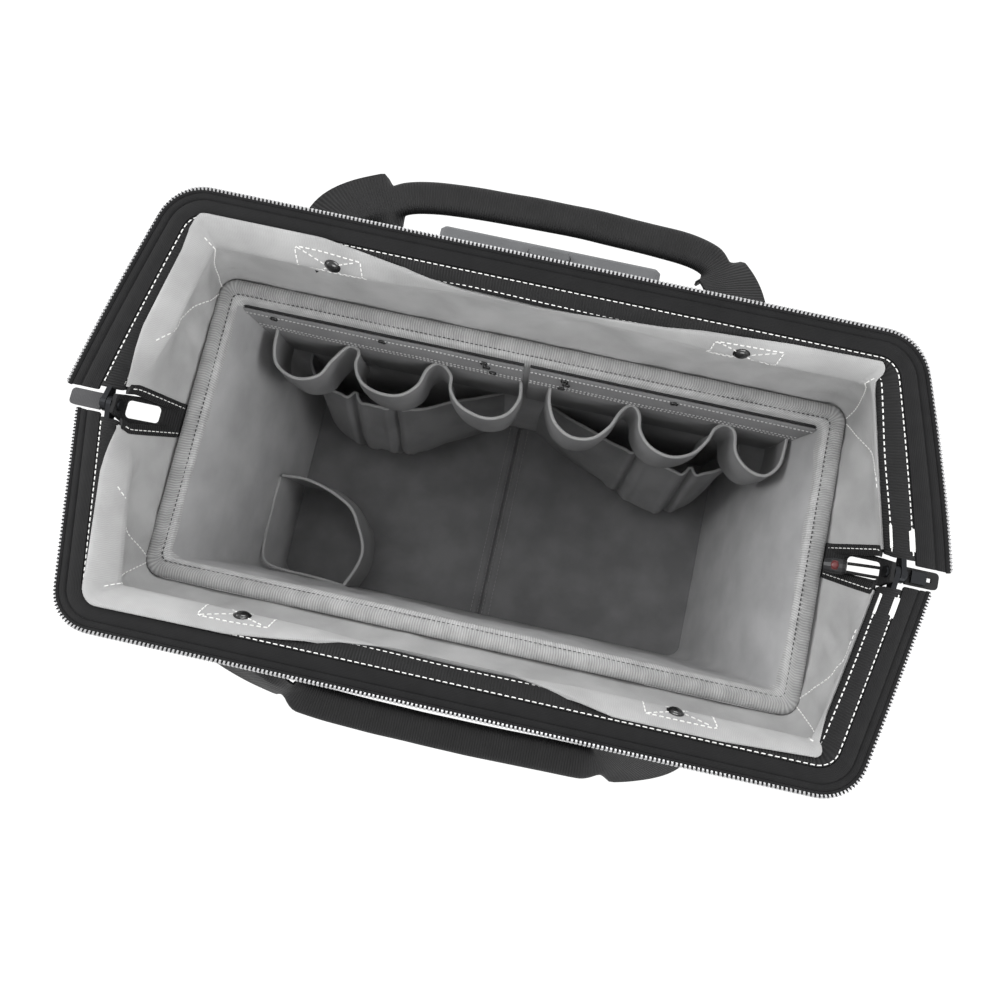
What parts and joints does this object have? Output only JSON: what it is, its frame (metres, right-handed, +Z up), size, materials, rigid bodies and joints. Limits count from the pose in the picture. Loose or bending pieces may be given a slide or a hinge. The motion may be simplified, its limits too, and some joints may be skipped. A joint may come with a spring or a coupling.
{
  "type": "rolling tool bag",
  "caption": "Soft-sided rolling tool bag standing open: hinged wire-frame zip mouth, tool loops and pouches, carry handles, telescoping pull handle and wheels.",
  "frame": {"origin": "on the ground, under the middle of the bag's overall length and width with the mouth open and the pull handle stowed", "axes": "+Z up; +X along the bag, towards the end with the zip slider; -Y towards the front, the side away from the wheels and the pull handle"},
  "size_m": [0.597, 0.4038, 0.3764],
  "materials": {
    "shell": "coated woven polyester over foam",
    "lining": "plain woven polyester",
    "binding": "ribbed grosgrain tape",
    "webbing": "woven polypropylene webbing",
    "tape": "knitted zip tape",
    "teeth": "bright zip chain",
    "steel": "zinc plated",
    "alloy": "clear anodised",
    "moulding": "fine grained moulding",
    "hub": "moulded",
    "rubber": "moulded rubber",
    "rivet": "black enamel",
    "accent": "dark red moulding",
    "grip": "soft touch"
  },
  "bodies": {
    "bag": {"front_wall": "shell", "back_wall": "shell", "end_wall_left": "shell", "end_wall_right": "shell", "rim_binding": "binding", "floor_board": "lining", "base_tray": "moulding", "front_foot_left": "rubber", "front_foot_right": "rubber", "tool_loops_left": "lining", "tool_loops_right": "lining", "pouch_left": "lining", "pouch_right": "lining", "corner_pocket": "lining", "front_pocket": "shell", "rear_chassis": "moulding", "axle": "steel", "axle_cap_left": "moulding", "axle_cap_right": "moulding", "handle_housing": "moulding", "handle_bezel": "moulding", "outer_tube_left": "alloy", "outer_tube_right": "alloy", "mouth_skirt_front": "lining", "mouth_skirt_back": "lining", "end_strap_left": "webbing", "end_strap_right": "webbing", "hinge_pin_left": "steel", "hinge_pin_right": "steel", "zip_tail_left": "tape", "zip_tail_right": "tape"},
    "wheel_left": {"wheel_hub_left": "hub", "tyre_left": "rubber"},
    "wheel_right": {"wheel_hub_right": "hub", "tyre_right": "rubber"},
    "pull_stage_1": {"stage_1_tube_left": "alloy", "stage_1_tube_right": "alloy"},
    "pull_stage_2": {"stage_2_tube_left": "alloy", "stage_2_tube_right": "alloy"},
    "pull_stage_3": {"stage_3_tube_left": "alloy", "stage_3_tube_right": "alloy", "pull_grip": "grip"},
    "release_button": {"release_button": "accent"},
    "mouth_front": {"frame_wire_front": "steel", "wire_sleeve_front": "webbing", "zip_tape_front": "tape", "zip_teeth_front": "teeth", "rivet_front_a": "rivet", "rivet_front_b": "rivet"},
    "mouth_back": {"frame_wire_back": "steel", "wire_sleeve_back": "webbing", "zip_tape_back": "tape", "zip_teeth_back": "teeth", "rivet_back_a": "rivet", "rivet_back_b": "rivet"},
    "carry_handle_front": {"carry_handle_front": "webbing"},
    "carry_handle_back": {"carry_handle_back": "webbing"},
    "zip_slider": {"zip_slider": "steel"},
    "zip_pull": {"zip_pull_cord": "webbing", "zip_pull_knob": "accent"}
  },
  "joints": [
    {"name": "wheel_left_spin", "type": "hinge", "parent": "bag", "child": "wheel_left", "pos_m": [-0.197, 0.14989, 0.038], "axis": [1, 0, 0], "continuous": true},
    {"name": "wheel_right_spin", "type": "hinge", "parent": "bag", "child": "wheel_right", "pos_m": [0.197, 0.14989, 0.038], "axis": [1, 0, 0], "continuous": true},
    {"name": "pull_stage_1_slide", "type": "slide", "parent": "bag", "child": "pull_stage_1", "axis": [0, 0, 1], "range_m": [0, 0.175]},
    {"name": "pull_stage_2_slide", "type": "slide", "parent": "pull_stage_1", "child": "pull_stage_2", "axis": [0, 0, 1], "range_m": [0, 0.175]},
    {"name": "pull_stage_3_slide", "type": "slide", "parent": "pull_stage_2", "child": "pull_stage_3", "axis": [0, 0, 1], "range_m": [0, 0.175]},
    {"name": "release_button_press", "type": "slide", "parent": "pull_stage_3", "child": "release_button", "axis": [0, 0, -1], "range_m": [0, 0.0025]},
    {"name": "mouth_front_hinge", "type": "hinge", "parent": "bag", "child": "mouth_front", "pos_m": [0, -0.01661, 0.33], "axis": [-1, 0, 0], "range_deg": [0, 71], "deforming": ["mouth_skirt_front"]},
    {"name": "mouth_back_hinge", "type": "hinge", "parent": "bag", "child": "mouth_back", "pos_m": [0, -0.01661, 0.33], "axis": [1, 0, 0], "range_deg": [0, 71], "deforming": ["mouth_skirt_back"]},
    {"name": "carry_handle_front_swing", "type": "hinge", "parent": "mouth_front", "child": "carry_handle_front", "pos_m": [0, -0.15441, 0.326], "axis": [-1, 0, 0], "range_deg": [0, 90]},
    {"name": "carry_handle_back_swing", "type": "hinge", "parent": "mouth_back", "child": "carry_handle_back", "pos_m": [0, 0.12119, 0.326], "axis": [1, 0, 0], "range_deg": [0, 50]},
    {"name": "zip_slider_slide", "type": "slide", "parent": "bag", "child": "zip_slider", "axis": [1, 0, 0], "range_m": [0, 0.004]},
    {"name": "zip_pull_swing", "type": "hinge", "parent": "zip_slider", "child": "zip_pull", "pos_m": [0.28449, -0.01661, 0.3249], "axis": [0, -1, 0], "range_deg": [-7, 2]}
  ],
  "couplings": [
    {"joint": "pull_stage_1_slide", "follows": "pull_stage_3_slide", "ratio": 1},
    {"joint": "pull_stage_2_slide", "follows": "pull_stage_3_slide", "ratio": 1}
  ]
}
